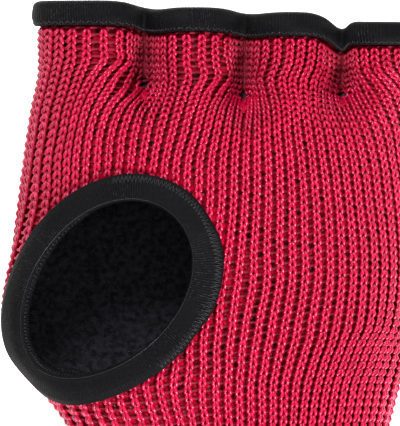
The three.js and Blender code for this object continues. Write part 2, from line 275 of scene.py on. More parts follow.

# Coarse sleeves inside the knit: their depths, how far from the glove's ends and from the thumb hole's edge
# they stop, how far round a pit they are open, and their grid. The back yarn fills the knit's gaps,
# coloured dark as painted shade.
LINING_SLEEVE = {
    "depths": (KNIT + GAP, WALL), "ends": 0.5, "beyond": 1.4, "pit_shade_oval": None, "columns": 84, "rows": 54,
}
# Round each pit the back yarn is left open, so that the black lining shows there as painted shade.
BACKING_SLEEVE = {
    "depths": (1.62, 1.9), "ends": 1.5, "beyond": 2.2, "pit_shade_oval": (2.6, 2.6), "columns": 96, "rows": 54,
}

# Loose fibres on the lining, the part of the back that they stand on, and how upright they are
PILE_FIBRES = 2400
PILE_SEED = 5
PILE_X = (-49.0, -2.0)
PILE_Y = (-22.0, 34.0)
PILE_LENGTHS = (0.5, 1.3)
PILE_RADIUS = 0.06
PILE_UPRIGHT = 0.7
PILE_ROOT = 0.05
PILE_SIDES = 4

# The picture: its size, its scale, and where the origin lies in it
PICTURE_WIDTH = 400
PICTURE_HEIGHT = 426
PIXELS_PER_MM = 4.0
ORIGIN_PIXEL_X = 212.5
ORIGIN_PIXEL_Y = 313.0
# Things at this height have that scale, seen from a camera this many metres above them
TRUE_HEIGHT = 26.0
CAMERA_DISTANCE = 2.5


def smooth_step(t):
    c = np.clip(t, 0, 1)
    return c * c * (3 - 2 * c)


def mix(a, b, t):
    return a + (b - a) * t


def unit(vectors):
    return vectors / np.maximum(np.linalg.norm(vectors, axis=-1, keepdims=True), 1e-9)


def signed_power(value, power):
    return np.sign(value) * np.abs(value) ** power


def angles_round(places):
    return 2 * math.pi * np.arange(places) / places


def run_along(points):
    """How far along its line each point lies."""
    steps = np.linalg.norm(np.diff(points, axis=-2), axis=-1)
    return np.concatenate([np.zeros((*steps.shape[:-1], 1)), np.cumsum(steps, axis=-1)], axis=-1)


def cubic_curve(xs, ys, slope, x):
    """The curve through the points (xs, ys) with these slopes, read at x."""
    i = np.clip(np.searchsorted(xs, x, side="right") - 1, 0, len(xs) - 2)
    span = xs[i + 1] - xs[i]
    t = (x - xs[i]) / span
    if ys.ndim > 1:
        span = span[..., None]
        t = t[..., None]
    t2 = t * t
    t3 = t2 * t
    return (
        (2 * t3 - 3 * t2 + 1) * ys[i]
        + (t3 - 2 * t2 + t) * span * slope[i]
        + (3 * t2 - 2 * t3) * ys[i + 1]
        + (t3 - t2) * span * slope[i + 1]
    )


def smooth_curve(xs, ys, x):
    """A smooth curve through points, read at x."""
    before = np.maximum(np.arange(len(xs)) - 1, 0)
    after = np.minimum(np.arange(len(xs)) + 1, len(xs) - 1)
    reach = xs[after] - xs[before]
    slope = (ys[after] - ys[before]) / (reach[:, None] if ys.ndim > 1 else reach)
    return cubic_curve(xs, ys, slope, np.clip(x, xs[0], xs[-1]))


def monotone_curve(xs, ys, x):
    """A smooth curve through rising points that never turns back, read at x."""
    rise = np.diff(ys) / np.diff(xs)
    slope = np.empty(len(xs))
    slope[1:-1] = 2 * rise[1:] * rise[:-1] / (rise[1:] + rise[:-1])
    slope[0] = rise[0]
    slope[-1] = rise[-1]
    return cubic_curve(xs, ys, slope, x)


def section(along):
    """Centre, half width, half thickness, height and boxiness of the section at a height."""
    left, right, half, middle, full = (
        smooth_curve(SECTIONS["along"], SECTIONS[name], along) for name in SECTION_COLUMNS[1:]
    )
    return (left + right) / 2, (right - left) / 2, half, middle, full


def edge_height(x):
    """Height of the finger edge at x, with the drop at each web."""
    height = LOOP_TOPS[0]
    for change, (web_x, _, drop, before, after) in zip(np.diff(LOOP_TOPS), WEBS):
        past_web = x - web_x
        height = height + change * smooth_step((past_web + LOOP_BLEND) / (2 * LOOP_BLEND))
        height = height - drop * np.exp(-((past_web / np.where(past_web < 0, before, after)) ** 2))
    return height


def loop_rise(aside):
    """How far a finger loop has risen, 0 to 1, at a share of the way from the web to its middle."""
    softened = np.sqrt(aside ** 2 + CREASE_SOFTNESS ** 2)
    lowest = np.sin(CREASE_SOFTNESS * np.pi / 2) ** LOOP_ROUNDNESS
    risen = np.sin(np.minimum(softened, 1) * np.pi / 2) ** LOOP_ROUNDNESS
    return (risen - lowest) / (1 - lowest)


def pinch(x, along):
    """How far the web grooves draw the front and back together: 0 not at all, 1 fully."""
    total = 0
    for web_x, pit, _, _, _ in WEBS:
        below = np.clip((pit - along) / PIT_FADE, 0, 1)
        aside = np.clip(np.abs(x - web_x) / LOOP_HALF_WIDTH, 0, 1)
        total = total + (1 - below) ** PIT_FADE_POWER * (1 - loop_rise(aside))
    return np.minimum(total, 1)


def settle(z):
    """The underside settles flat on the surface below it."""
    turned = (np.clip(z, -SETTLE, SETTLE) + SETTLE) ** 2 / (4 * SETTLE)
    return np.where(z < SETTLE, turned, z)


def skin(turn, along, grooved=1.0):
    """Points on the outside of the knit. grooved 0 leaves the web grooves out."""
    centre, width, half, middle, full = section(along)
    power = 2 / full
    s = np.sin(turn)
    x = centre + width * signed_power(np.cos(turn), power)
    rise = half * np.abs(s) ** power
    under_tape = smooth_step((along - FINGER_EDGE + WEB_TAPE_REACH) / WEB_TAPE_BLEND)
    web_half = mix(WEB_AT_PIT, WEB_AT_EDGE, under_tape)
    rise = mix(rise, np.minimum(rise, web_half), pinch(x, along) * grooved)
    z = np.where(s >= 0, middle + rise, settle(middle - rise))
    lift = (edge_height(x) - FINGER_EDGE) * smooth_step((along - FINGER_EDGE + EDGE_FADE) / EDGE_FADE)
    return np.stack([x, along + lift, z], axis=-1)


def directions(turn, along):
    """The skin's two directions at places, for each radian of turn and each millimetre along."""
    reach_turn = 0.09
    reach_along = 2.5
    across = (skin(turn + reach_turn, along) - skin(turn - reach_turn, along)) / (2 * reach_turn)
    up = (skin(turn, along + reach_along) - skin(turn, along - reach_along)) / (2 * reach_along)
    return across, up


def outward(turn, along):
    across, up = directions(turn, along)
    return unit(np.cross(up, across))


def layer(turn, along, depth):
    """Points at a depth below the outside of the knit."""
    depth = np.asarray(depth, float)[..., None]
    return skin(turn, along) - outward(turn, along) * depth


def turn_on_palm(x, along):
    """The turn of a place on the palm side, seen from above."""
    centre, width, _, _, full = section(along)
    side = np.clip((x - centre) / width, -1, 1)
    return np.arccos(signed_power(side, full / 2))


def spread_sideways(table, reach):
    """Evens a table out over its columns, which go round the hand, with a soft window of this reach."""
    offset = np.arange(-3 * reach, 3 * reach + 1)
    weight = np.exp(-(offset / reach) ** 2)
    return sum(w * np.roll(table, k, axis=1) for k, w in zip(offset, weight / weight.sum()))


class Knit:
    """Places on the skin by rib and course.

    Rib numbers run from the little finger side, over the back to the thumb side and over the palm to the
    little finger side again. Course 0 is the wrist edge.
    """

    HEIGHTS = 240
    TURNS = 720

    def __init__(self):
        self.ribs = FIRST_RIB + np.arange(RIBS * FINE) / FINE
        self.row_heights = np.array([row[0] for row in RIB_ROWS])
        self.row_shares = np.array([self.shares_in_row(*row) for row in RIB_ROWS])
        heights = np.linspace(WRIST_EDGE, FINGER_EDGE, self.HEIGHTS)
        turns = np.array([self.turns_at(along) for along in heights])
        places = skin(turns, heights[:, None])
        pitch = mix(
            COURSE_ON_HAND, COURSE_ON_FINGERS, smooth_step((heights - FINGERS_FROM) / FINGERS_BLEND)
        )
        steps = np.linalg.norm(np.diff(places, axis=0), axis=2) / ((pitch[1:] + pitch[:-1]) / 2)[:, None]
        courses = np.vstack([np.zeros(RIBS * FINE), np.cumsum(steps, axis=0)])
        self.courses = int(round(courses[-1].mean()))
        courses *= self.courses / courses[-1]
        courses = spread_sideways(courses, COURSE_SPREAD * FINE)
        rows = np.arange(self.courses * FINE + 1) / FINE
        turns = np.unwrap(turns, axis=0)
        along = np.stack([np.interp(rows, line, heights) for line in courses.T], axis=1)
        turn = np.stack([np.interp(rows, *line) for line in zip(courses.T, turns.T)], axis=1)
        self.points = skin(turn, along)
        half_rib = FINE // 2
        across = np.roll(self.points, -half_rib, axis=1) - np.roll(self.points, half_rib, axis=1)
        up = np.gradient(self.points, axis=0) * FINE
        self.normals = unit(np.cross(across, up))
        self.rib_size = np.linalg.norm(across, axis=2)
        self.course_size = np.linalg.norm(up, axis=2)

    def outline_at(self, along):
        """Turns round one height, from the middle of the back, and how far round each is, 0 to 1."""
        turns = 1.5 * math.pi - np.linspace(0, 2 * math.pi, self.TURNS + 1)
        run = run_along(skin(turns, np.full(turns.shape, along), grooved=0.0))
        return turns, run / run[-1]

    def shares_in_row(self, along, on_left, xs, on_right):
        """How far round from the middle of the back each fine rib line lies in one row of the table."""
        turns, share = self.outline_at(along)
        placed = [(rib, turn_on_palm(x, along)) for rib, x in zip(LINES, xs) if x is not None]
        known = [(on_left, math.pi), *placed, (on_right, 0.0)]
        ribs = np.array([rib for rib, _ in known])
        shares = np.array([np.interp(-turn, -turns, share) for _, turn in known])
        ribs = np.concatenate([ribs[-3:] - RIBS, ribs, ribs[:3] + RIBS])
        shares = np.concatenate([shares[-3:] - 1, shares, shares[:3] + 1])
        return monotone_curve(ribs, shares, self.ribs)

    def turns_at(self, along):
        """The turn of every fine rib line at one height."""
        here = smooth_curve(self.row_heights, self.row_shares, np.full(1, along))[0]
        turns, share = self.outline_at(along)
        whole = np.floor(here)
        return np.interp(here - whole, share, turns) - 2 * math.pi * whole

    def read(self, table, rib, course):
        """A value of one of the tables between its places."""
        j = (rib - FIRST_RIB) * FINE
        i = np.clip(course * FINE, 0, self.courses * FINE - 1e-6)
        j0 = np.floor(j).astype(int)
        i0 = np.floor(i).astype(int)
        tj = j - j0
        ti = i - i0
        if table.ndim == 3:
            tj = tj[..., None]
            ti = ti[..., None]
        left = j0 % (RIBS * FINE)
        right = (j0 + 1) % (RIBS * FINE)
        low = mix(table[i0, left], table[i0, right], tj)
        high = mix(table[i0 + 1, left], table[i0 + 1, right], tj)
        return mix(low, high, ti)


def hole_egg(x, y, beyond):
    """Below 1 inside the thumb hole's cut edge, or inside an egg that lies beyond it on every side."""
    dx = x - HOLE_X
    dy = y - HOLE_Y
    long = (dx * math.cos(HOLE_TILT) + dy * math.sin(HOLE_TILT)) / (HOLE_HALF_LENGTH + beyond)
    wide = -dx * math.sin(HOLE_TILT) + dy * math.cos(HOLE_TILT)
    wide = wide / ((HOLE_HALF_WIDTH + beyond) * (1 + HOLE_EGG * np.clip(long, -1, 1)))
    return long ** 2 + wide ** 2


def hole_place(angle):
    """A place on the thumb hole's rim."""
    long = HOLE_HALF_LENGTH * np.cos(angle)
    wide = HOLE_HALF_WIDTH * np.sin(angle) * (1 + HOLE_EGG * np.cos(angle))
    x = HOLE_X + long * math.cos(HOLE_TILT) - wide * math.sin(HOLE_TILT)
    y = HOLE_Y + long * math.sin(HOLE_TILT) + wide * math.cos(HOLE_TILT)
    return turn_on_palm(x, y), y


def in_opening(places, beyond, pit_shade_oval):
    """Whether places lie in the thumb hole or this far beyond its edge, or in an oval round a pit left open
    as painted shade.
    """
    x = places[..., 0]
    y = places[..., 1]
    found = hole_egg(x, y, beyond) < 1
    if pit_shade_oval:
        across, up = pit_shade_oval
        for web_x, pit, *_ in WEBS:
            found |= ((x - web_x) / across) ** 2 + ((y - pit) / up) ** 2 < 1
    return found


def mesh_piece(name, points, quads, material, uvs=None, buried_shade=None):
    """One smooth mesh of four-sided faces, without the points that no face uses.

    uvs has a pair for each corner of each face, and a value for each point says how buried it lies, for
    painted shade.
    """
    used, quads = np.unique(quads, return_inverse=True)
    points = points[used]
    quads = quads.reshape(-1, 4)
    mesh = bpy.data.meshes.new(name)
    mesh.vertices.add(len(points))
    mesh.vertices.foreach_set("co", (points * MM).ravel())
    mesh.loops.add(quads.size)
    mesh.loops.foreach_set("vertex_index", quads.ravel())
    mesh.polygons.add(len(quads))
    mesh.polygons.foreach_set("loop_start", np.arange(len(quads)) * 4)
    mesh.polygons.foreach_set("use_smooth", np.ones(len(quads), bool))
    if uvs is not None:
        mesh.uv_layers.new(name="UVMap").data.foreach_set("uv", uvs.ravel())
    if buried_shade is not None:
        values = buried_shade[used].astype(np.float32)
        mesh.attributes.new("buried_shade", "FLOAT", "POINT").data.foreach_set("value", values)
    mesh.update(calc_edges=True)
    mesh.validate()
    mesh.materials.append(material)
    piece = bpy.data.objects.new(name, mesh)
    bpy.context.scene.collection.objects.link(piece)
    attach(piece, "root")
    return piece


def strand_rings(centres, outs, radii, sides, closed):
    """Rings of points round the centres of strands, shaped (strand, ring, side, 3)."""
    if closed:
        tangents = unit(np.roll(centres, -1, axis=1) - np.roll(centres, 1, axis=1))
    else:
        tangents = unit(np.gradient(centres, axis=1))
    side = unit(np.cross(tangents, outs))
    up = np.cross(side, tangents)
    angles = angles_round(sides)[:, None]
    radii = np.broadcast_to(radii, centres.shape[:-1])[..., None, None]
    round_ring = side[..., None, :] * np.cos(angles) + up[..., None, :] * np.sin(angles)
    return centres[..., None, :] + round_ring * radii


def strand_faces(keep, sides, closed, lengths):
    """Walls and end caps of strands, with uvs along and round them.

    keep says which rings are there. In closed strands the last ring meets the first.
    """
    strands, rings = keep.shape
    ring = np.arange(strands * rings).reshape(strands, rings)
    following = np.roll(ring, -1, axis=1)
    joined = keep & np.roll(keep, -1, axis=1)
    if not closed:
        joined[:, -1] = False
    a = ring[joined][:, None] * sides
    b = following[joined][:, None] * sides
    side = np.arange(sides)
    after = (side + 1) % sides
    walls = np.stack([a + side, b + side, b + after, a + after], axis=-1).reshape(-1, 4)
    step = np.roll(lengths, -1, axis=1) - lengths
    step = np.where(step < 0, np.median(step), step)
    u0 = np.repeat(lengths[joined], sides)
    u1 = np.repeat((lengths + step)[joined], sides)
    v0 = np.tile(side / sides, joined.sum())
    v1 = v0 + 1 / sides
    wall_uvs = np.stack([u0, v0, u1, v0, u1, v1, u0, v1], axis=-1).reshape(-1, 4, 2)
    starts = ring[keep & ~np.roll(joined, 1, axis=1)]
    ends = ring[keep & ~joined]
    caps = []
    for k in range(1, sides // 2):
        corners = np.array([0, 2 * k - 1, 2 * k, 2 * k + 1])
        caps.append(starts[:, None] * sides + corners)
        caps.append(ends[:, None] * sides + corners[::-1])
    caps = np.concatenate(caps)
    return np.concatenate([walls, caps]), np.concatenate([wall_uvs, np.zeros((len(caps), 4, 2))])


def strands_piece(name, centres, outs, radii, sides, material, closed=False, keep=None, buried_shade=None):
    """One piece of tubes round centre lines, (strand, ring, 3), with the directions out of the fabric.

    keep says which rings are there, and a value for each ring how deep in the fabric it lies, for painted
    shade.
    """
    if keep is None:
        keep = np.ones(centres.shape[:2], bool)
    if buried_shade is not None:
        buried_shade = np.repeat(buried_shade.ravel(), sides)
    rings = strand_rings(centres, outs, radii, sides, closed)
    quads, uvs = strand_faces(keep, sides, closed, run_along(centres))
    return mesh_piece(name, rings.reshape(-1, 3), quads, material, uvs, buried_shade)


def limited_power(value, power, low, high):
    return np.clip(value ** power, low, high)


def whole_stitch():
    """One stitch from gap to gap, without the last point, which is the next stitch's first."""
    mirrored = HALF_STITCH[-2:0:-1] * (-1, 1, 1, 1)
    return np.concatenate([HALF_STITCH, mirrored])


def yarn_courses(knit, rng):
    """Every course of the knit as a closed line of yarn.

    The tables have a row for each course: points, outward directions, radii, and how buried the yarn is,
    plus painted shade.
    """
    stitch = whole_stitch()
    under_tape = TAPE_WIDTH - YARN_UNDER_TAPE
    first = math.ceil(under_tape / COURSE_ON_HAND) + 1
    last = knit.courses - math.floor(under_tape / COURSE_ON_FINGERS)
    courses = np.arange(first, last)
    all_stitches = (len(courses), RIBS)
    middle_rib = np.broadcast_to(FIRST_RIB + 0.5 + np.arange(RIBS), all_stitches)
    middle_course = np.broadcast_to(courses[:, None], all_stitches).astype(float)
    legs_course = middle_course - LEGS_BELOW
    room = knit.read(knit.rib_size, middle_rib, legs_course) / RIB_SIZE
    stacking = COURSE_SIZE / knit.read(knit.course_size, middle_rib, legs_course)
    uneven = rng.normal(0, 1, (3, *all_stitches))
    middle_x = knit.read(knit.points, middle_rib, middle_course)[..., 0]
    slack = smooth_step((SLACK_FROM - middle_x) / SLACK_BLEND)

    width = np.where(room < 1, room ** CROWDED_WIDTH, 1 / room) * (1 + UNEVEN_WIDTH * uneven[0])
    width = width * (1 + SLACK_SPREAD * slack)
    spread = 1 + (stacking ** STACKING_WIDENS - 1)[..., None] * np.abs(stitch[:, 0]) / LEG_REACH
    is_gap = np.arange(len(stitch)) == 0
    across = stitch[:, 0] / RIB_SIZE * np.where(is_gap, 1, width[..., None] * spread)
    rib = middle_rib[..., None] + across + UNEVEN_PLACE * uneven[1][..., None] * ~is_gap
    course = middle_course[..., None] + stitch[:, 1] / COURSE_SIZE
    rise = limited_power(room, *CROWDED_RISE)
    out = stitch[:, 2] * rise[..., None] + UNEVEN_HEIGHT * uneven[2][..., None]
    out = out + SLACK_LIFT * slack[..., None] * is_gap
    swell = limited_power(room, *CROWDED_THICKNESS) * (1 + SLACK_SWELL * slack)
    radius = swell[..., None] * stitch[:, 3]

    shape = (len(courses), RIBS * len(stitch))
    rib = rib.reshape(shape)
    course = course.reshape(shape)
    out = out.reshape(shape)
    normals = unit(knit.read(knit.normals, rib, course))
    points = knit.read(knit.points, rib, course) - normals * (YARN_DEPTH - out)[..., None]
    # How buried the yarn is, which paints it darker as shade.
    buried_shade = np.clip((BURIED_FROM - out) / (BURIED_FROM - BURIED_FULLY), 0, 1)
    # More painted shade: yarn in a groove above the pits, and yarn on the slack side.
    groove_shade = pinch(points[..., 0], points[..., 1]) ** 2
    above_pits = smooth_step((points[..., 1] - LOWEST_PIT) / PIT_PAINTED_SHADE_FADE)
    painted_shade = WEB_PAINTED_SHADE * groove_shade * above_pits + SLACK_PAINTED_SHADE * np.repeat(slack, len(stitch), axis=1)
    return points, normals, radius.reshape(shape), np.clip(buried_shade + painted_shade, 0, 1)


def knit_pieces(knit, material):
    """All the stitches, in five pieces from the cuff to the fingers."""
    points, normals, radius, buried_shade = yarn_courses(knit, np.random.default_rng(YARN_SEED))
    on_palm = points[..., 2] > smooth_curve(SECTIONS["along"], SECTIONS["middle"], points[..., 1])
    keep = ~(on_palm & in_opening(points, YARN_CLEAR_OF_HOLE, PIT_SHADE_OVAL))
    shares = np.array_split(np.arange(len(points)), len(KNIT_PIECES))
    for name, rows in zip(KNIT_PIECES, shares):
        piece = strands_piece(
            name, points[rows], normals[rows], radius[rows], YARN_SIDES, material,
            closed=True, keep=keep[rows], buried_shade=buried_shade[rows],
        )
        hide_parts("knit_shell")


def web_seam(name, web_x, low, high, radius, depth, painted_shade, material):
    """Yarn ends side by side down the bottom of a groove, between two heights."""
    along = np.linspace(low, high, WEB_SEAM_POINTS)
    waver = WEB_STRAND_WAVER * np.sin(along * 2 * math.pi / COURSE_ON_FINGERS)
    centres = np.stack([
        skin(turn_on_palm(web_x + side * (WEB_STRAND_PITCH + waver), along), along) for side in (-1, 0, 1)
    ])
    centres[..., 2] -= depth
    up = np.broadcast_to(np.array([0.0, 0.0, 1.0]), centres.shape)
    to_end = np.minimum(along - low, high - along) / WEB_STRAND_TAPER
    taper = radius * np.clip(to_end + WEB_STRAND_TIP, WEB_STRAND_TIP, 1)
    # The strands are painted darker by their share of painted shade.
    buried_shade = np.full(centres.shape[:2], painted_shade)
    strands_piece(name, centres, up, taper, WEB_SEAM_SIDES, material, buried_shade=buried_shade)


def web_seams(material):
    """The yarn ends that close each groove of the palm, above the pit between the fingers and below it."""
    for number, (web_x, pit, *_) in enumerate(WEBS, start=1):
        reaches = {
            "upper": (pit + PIT_OPENS, UPPER_SEAM_END),
            "lower": (pit - PIT_OPENS - LOWER_SEAM_LENGTH, pit - PIT_OPENS),
        }
        for part, (low, high) in reaches.items():
            web_seam(f"web_seam_{part}_{number}", web_x, low, high, material=material, **WEB_SEAMS[part])


def pressed_share(turn, along):
    """The share of its thickness that the wall has left near the thumb hole's tape."""
    place = skin(turn, along)
    beyond = (np.sqrt(hole_egg(place[..., 0], place[..., 1], 0)) - 1) * HOLE_HALF_WIDTH
    share = mix(PRESSED_WALL / WALL, 1, smooth_step((beyond - THUMB_TAPE_INNER) / PRESS_FADE))
    return np.where(np.sin(turn) > 0, share, 1)


def closed_turns(knit, edge, places):
    """Turns of evenly shared places round one height."""
    fine = np.arange(places) * (RIBS * FINE) / places
    lines = knit.turns_at(edge)
    return np.interp(fine, np.arange(RIBS * FINE + 1), np.append(lines, lines[0] - 2 * math.pi))


def sleeve_piece(knit, name, material, depths, ends, beyond, pit_shade_oval, columns, rows):
    """A sleeve inside the knit: two layers of a coarse grid, closed at both ends and round its holes."""
    heights = np.linspace(WRIST_EDGE + ends, FINGER_EDGE - ends, rows)
    turns = np.array([closed_turns(knit, along, columns) for along in heights])
    along = np.broadcast_to(heights[:, None], turns.shape)
    share = pressed_share(turns, along)
    layers = [layer(turns, along, depth * share) for depth in depths]
    centre = (layers[0] + np.roll(layers[0], -1, axis=1))[:-1] / 2
    on_palm = np.sin(turns[:-1]) > 0
    cell = ~(on_palm & in_opening(centre, beyond, pit_shade_oval))
    number = np.arange(rows * columns).reshape(rows, columns)
    right = np.roll(number, -1, axis=1)
    inner = rows * columns
    corners = np.stack([number[:-1], right[:-1], right[1:], number[1:]], axis=-1)
    faces = [corners[cell], corners[cell][:, ::-1] + inner]
    nothing = np.zeros((1, columns), bool)
    neighbours = (
        np.vstack([nothing, cell[:-1]]), np.roll(cell, -1, axis=1),
        np.vstack([cell[1:], nothing]), np.roll(cell, 1, axis=1),
    )
    for side, neighbour in enumerate(neighbours):
        at_rim = corners[cell & ~neighbour]
        a = at_rim[:, side]
        b = at_rim[:, (side + 1) % 4]
        faces.append(np.stack([b, a, a + inner, b + inner], axis=-1))
    points = np.concatenate([part.reshape(-1, 3) for part in layers])
    return mesh_piece(name, points, np.concatenate(faces), material)


def lining_piece(knit, material):
    """The brushed sleeve next to the hand."""
    piece = sleeve_piece(knit, "fleece_sleeve", material, **LINING_SLEEVE)
    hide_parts("fleece_lining")


def pile_piece(material):
    """Loose fibres of the brushed lining, on the back where the thumb hole shows it."""
    rng = np.random.default_rng(PILE_SEED)
    x = rng.uniform(*PILE_X, PILE_FIBRES)
    along = rng.uniform(*PILE_Y, PILE_FIBRES)
    turn = -turn_on_palm(x, along)
    normals = outward(turn, along)
    lean = unit(rng.normal(0, 1, (PILE_FIBRES, 3)) - PILE_UPRIGHT * normals)
    roots = layer(turn, along, WALL - PILE_ROOT)
    length = rng.uniform(*PILE_LENGTHS, (PILE_FIBRES, 1))
    centres = np.stack([roots, roots + lean * length], axis=1)
    outs = np.repeat(normals[:, None], 2, axis=1)
    radii = np.array([PILE_RADIUS, PILE_RADIUS / 3])
    strands_piece("fleece_pile", centres, outs, radii, PILE_SIDES, material)


def backing_piece(knit, material):
    """The back yarn of the rib fabric between the ribs, painted dark as shade."""
    piece = sleeve_piece(knit, "knit_back", material, **BACKING_SLEEVE)
    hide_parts("knit_shell")


def tape_face(distance, leg, gap, press, ridge, plump):
    """Depth of the middle of a tape's outer leg at distances from the fold.

    The leg is pressed down towards its own edge, where it is stitched, and swells or lies flat between
    that and a ridge along the fold.
    """
    pressed = press * smooth_step((distance - leg + PRESSED_STRIP) / PRESSED_BLEND)
    swell = plump * np.sin(np.clip(distance / leg, 0, 1) * math.pi)
    dip = ridge * (1 - smooth_step((distance - DIP_WIDTH) / DIP_BLEND) / 2)
    return -gap - TAPE / 2 + pressed - swell + dip


def tape_profile(wall, inner_leg, fold_power, leg, gap, press, ridge, plump):
    """The closed section of a tape folded round a wall, as distances from the edge and depths."""
    near_end = np.array([0.0, 0.08, 0.25, 0.5, 0.9, 1.4, 2.0])
    near_fold = np.array([2.4, 1.9, 1.4, 0.9, 0.4])
    outer = np.concatenate([leg - near_end, near_fold])
    inner = (inner_leg - np.append(near_end[:-1], [1.9, 3.0]))[::-1]
    fold = np.linspace(0, math.pi, 13)
    outside = tape_face(np.zeros(1), leg, gap, press, 0, 0)[0]
    inside = wall + gap + TAPE / 2
    rise = (inside - outside) / 2
    folded = -FOLD_REACH * np.sin(fold) ** fold_power
    level = rise * signed_power(np.cos(fold), fold_power)
    lip = ridge * smooth_step((folded + 0.65) / 0.35) * (fold < math.pi / 2)
    line = np.concatenate([
        np.stack([outer, tape_face(outer, leg, gap, press, ridge, plump)], axis=1),
        np.stack([folded, (outside + inside) / 2 - level + lip], axis=1),
        np.stack([inner, np.full(len(inner), inside)], axis=1),
    ])
    way = unit(np.gradient(line, axis=0))
    normal = np.stack([-way[:, 1], way[:, 0]], axis=1)
    run = run_along(line)
    to_end = np.clip(np.minimum(run, run[-1] - run) / (TAPE / 2), 0, 1)
    half = TAPE / 2 * np.sqrt(1 - (1 - to_end) ** 2)
    half[[0, -1]] = CUT_END
    there = line + normal * half[:, None]
    back = line - normal * half[:, None]
    return np.concatenate([there, back[::-1]])


def band_piece(name, grid, material):
    """A closed band: a grid of points that goes round in both directions, (place, profile point, 3)."""
    count, size, _ = grid.shape
    number = np.arange(count * size).reshape(count, size)
    after = np.roll(number, -1, axis=0)
    corners = np.stack([number, after, np.roll(after, -1, axis=1), np.roll(number, -1, axis=1)], axis=-1)
    middle = grid.mean(axis=1)
    u = run_along(np.append(middle, middle[:1], axis=0))
    v = run_along(np.append(grid, grid[:, :1], axis=1)).mean(axis=0)
    u0, v0 = np.meshgrid(u[:-1], v[:-1], indexing="ij")
    u1, v1 = np.meshgrid(u[1:], v[1:], indexing="ij")
    uvs = np.stack([u0, v0, u1, v0, u1, v1, u0, v1], axis=-1)
    return mesh_piece(name, grid.reshape(-1, 3), corners.reshape(-1, 4), material, uvs)


def end_tape(knit, name, node, edge, inwards, places, material):
    """The tape on one end of the sleeve. inwards is 1 where the fabric lies up the hand from it."""
    profile = tape_profile(WALL, TAPE_WIDTH, END_FOLD_POWER, **END_TAPE)
    if inwards > 0:
        profile = profile[::-1]
    turns = closed_turns(knit, edge, places)
    along = edge + inwards * profile[:, 0]
    grid = layer(turns[:, None], along[None, :], profile[None, :, 1])
    piece = band_piece(name, grid, material)
    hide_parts(node)


def zigzag(count):
    """Places of a zigzag thread: steps along it, how far it has swung and how far it is sunk, 0 to 1."""
    steps = np.arange(count * ZIGZAG_POINTS) / ZIGZAG_POINTS
    phase = steps % 1
    straight = np.abs(2 * phase - 1)
    swing = mix(straight, smooth_step(straight), ZIGZAG_SOFTNESS)
    sunk = np.abs(2 * swing - 1) ** 4
    return steps, swing, sunk


def thread_piece(name, points, normals, closed, material, radius=THREAD_RADIUS):
    """One thread through points."""
    strands_piece(name, points[None], normals[None], radius, THREAD_SIDES, material, closed)


def end_stitches(knit, name, edge, inwards, material):
    """The zigzag seam of an end tape."""
    steps, swing, sunk = zigzag(END_ZIGZAGS)
    turns = closed_turns(knit, edge, len(steps))
    distance = END_TAPE["leg"] - SEAM_INSET - END_SEAM_WIDTH * swing
    face = tape_face(distance, **END_TAPE) - TAPE / 2
    along = edge + inwards * distance
    points = layer(turns, along, face - THREAD_LIFT * THREAD_RADIUS + SEAM_SINKS * sunk)
    thread_piece(name, points, outward(turns, along), True, material)


def walk(turn, along, heading, distance):
    """Goes distances over the skin from places, in directions given in space."""
    steps = 6
    stride = distance / steps
    for _ in range(steps):
        across, up = directions(turn, along)
        aa = (across * across).sum(-1)
        uu = (up * up).sum(-1)
        au = (across * up).sum(-1)
        ha = (heading * across).sum(-1)
        hu = (heading * up).sum(-1)
        area = aa * uu - au * au
        d_turn = (ha * uu - hu * au) / area
        d_along = (hu * aa - ha * au) / area
        heading = unit(across * d_turn[..., None] + up * d_along[..., None])
        turn = turn + d_turn * stride
        along = along + d_along * stride
    return turn, along


def rim_places(angles):
    """Places on the thumb hole's rim and the direction away from the hole at each of them."""
    turn, along = hole_place(angles)
    reach = 0.02
    after = skin(*hole_place(angles + reach))
    before = skin(*hole_place(angles - reach))
    away = unit(np.cross(unit(after - before), outward(turn, along)))
    return turn, along, away


def thumb_tape_width(angle):
    """How wide the outer leg of the thumb hole's tape is."""
    on_palm = np.maximum(0.0, np.cos(angle - PALM_SIDE))
    at_thumb = np.maximum(0.0, np.cos(angle - THUMB_SIDE))
    return THUMB_TAPE_WIDTH + PALM_SIDE_EXTRA * on_palm + THUMB_SIDE_EXTRA * at_thumb ** 2


def thumb_line(angles, distance, depth):
    """Points over the thumb hole's tape, and the directions out of the fabric there."""
    turn, along, away = rim_places(angles)
    far_turn, far_along = walk(turn, along, away, distance)
    return layer(far_turn, far_along, depth), outward(far_turn, far_along)


def thumb_tape(material):
    """The tape round the thumb hole."""
    angles = angles_round(THUMB_TAPE_PLACES)
    profiles = np.array([
        tape_profile(PRESSED_WALL, THUMB_TAPE_INNER, THUMB_FOLD_POWER, leg, **THUMB_TAPE)[::-1]
        for leg in thumb_tape_width(angles)
    ])
    grid, _ = thumb_line(angles[:, None], profiles[..., 0], profiles[..., 1])
    piece = band_piece("thumb_tape", grid, material)
    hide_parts("thumb_binding")


def palm_stitches(material):
    """The zigzag seam of the thumb hole's tape on the palm, wide and near the outer edge."""
    steps, swing, sunk = zigzag(THUMB_ZIGZAGS)
    angles = mix(*PALM_SEAM, steps / THUMB_ZIGZAGS)
    leg = thumb_tape_width(angles)
    distance = leg - SEAM_INSET - PALM_SEAM_WIDTH * swing
    face = tape_face(distance, leg=leg, **THUMB_TAPE) - TAPE / 2
    depth = face - THREAD_LIFT * THREAD_RADIUS + SEAM_SINKS * sunk
    points, normals = thumb_line(angles, distance, depth)
    thread_piece("thumb_seam_palm", points, normals, False, material)


